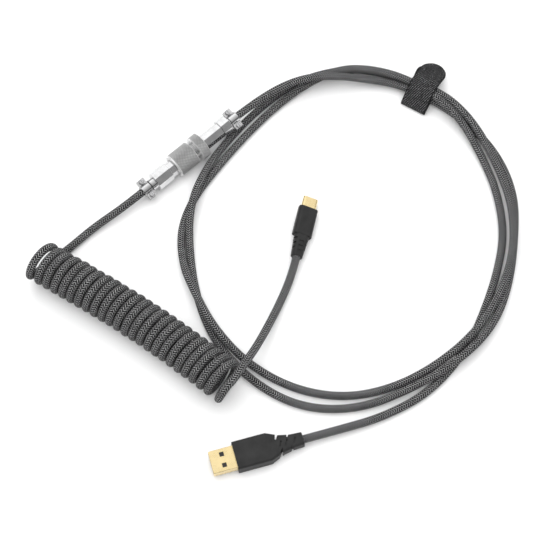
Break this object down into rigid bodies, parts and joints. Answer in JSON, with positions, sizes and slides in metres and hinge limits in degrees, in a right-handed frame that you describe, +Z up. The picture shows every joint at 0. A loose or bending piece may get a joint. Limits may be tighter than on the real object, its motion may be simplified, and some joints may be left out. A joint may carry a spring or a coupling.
{
  "type": "coiled keyboard cable",
  "caption": "Braided keyboard cable with a coiled half and a tied straight half, joined by a screw-coupled round metal connector, with USB-C and USB-A plugs.",
  "frame": {"origin": "on the surface that the cable lies on, below the middle of its metal, plastic and strap pieces", "axes": "+Z up from that surface; the loop lies in the XY plane, the coil to -X, the USB-A plug to -Y and the strap to +X +Y"},
  "size_m": [0.2639, 0.2416, 0.023],
  "materials": {
    "bright_plating": "polished",
    "satin_knurl": "satin",
    "screw_steel": "satin",
    "gold_plating": "polished",
    "gold_shell": "satin",
    "insulator": "matte",
    "tongue_plastic": "matte",
    "board": "satin",
    "wire_sheath": "matte",
    "black_moulding": "matte",
    "braid": "woven",
    "strap_tape": "brushed"
  },
  "bodies": {
    "straight_half": {"socket_shell": "bright_plating", "socket_grip_ring": "satin_knurl", "socket_insert": "insulator", "socket_contacts": "gold_plating", "socket_wires": "wire_sheath", "socket_backshell": "bright_plating", "socket_clamp_saddle": "bright_plating", "socket_clamp_screws": "screw_steel", "straight_cable": "braid", "usb_a_housing": "black_moulding", "usb_a_boot": "black_moulding", "usb_a_shell": "gold_shell", "usb_a_tongue": "tongue_plastic", "usb_a_contacts": "gold_plating", "usb_a_board": "board", "usb_a_wires": "wire_sheath", "strap_band": "strap_tape"},
    "strap_peel": {"strap_tab": "strap_tape"},
    "coil_half": {"plug_shell": "bright_plating", "plug_insert": "insulator", "plug_pins": "gold_plating", "plug_wires": "wire_sheath", "plug_backshell": "bright_plating", "plug_clamp_saddle": "bright_plating", "plug_clamp_screws": "screw_steel", "coil_lead": "braid", "coil": "braid", "coil_tail": "braid", "usb_c_housing": "black_moulding", "usb_c_boot": "black_moulding", "usb_c_shell": "gold_shell", "usb_c_insert": "tongue_plastic", "usb_c_contacts": "gold_plating", "usb_c_board": "board", "usb_c_wires": "wire_sheath"},
    "nut_carrier": {"nut_ring": "screw_steel"},
    "nut": {"coupling_nut": "satin_knurl"}
  },
  "joints": [
    {"name": "strap_tab_peel", "type": "hinge", "parent": "straight_half", "child": "strap_peel", "pos_m": [0.07362, 0.10606, 0.0105], "axis": [0.8616, -0.5075, 0], "range_deg": [0, 120]},
    {"name": "connector_pull", "type": "slide", "parent": "straight_half", "child": "coil_half", "axis": [-0.7421, -0.6682, -0.0523], "range_m": [0, 0.008]},
    {"name": "nut_travel", "type": "slide", "parent": "coil_half", "child": "nut_carrier", "axis": [-0.7421, -0.6682, -0.0523], "range_m": [0, 0.0034]},
    {"name": "nut_turn", "type": "hinge", "parent": "nut_carrier", "child": "nut", "pos_m": [-0.06133, 0.05704, 0.00741], "axis": [-0.7421, -0.6682, -0.0523], "range_deg": [0, 1224]}
  ],
  "couplings": [
    {"joint": "nut_turn", "follows": "nut_travel", "rad_per_m": 6283}
  ]
}
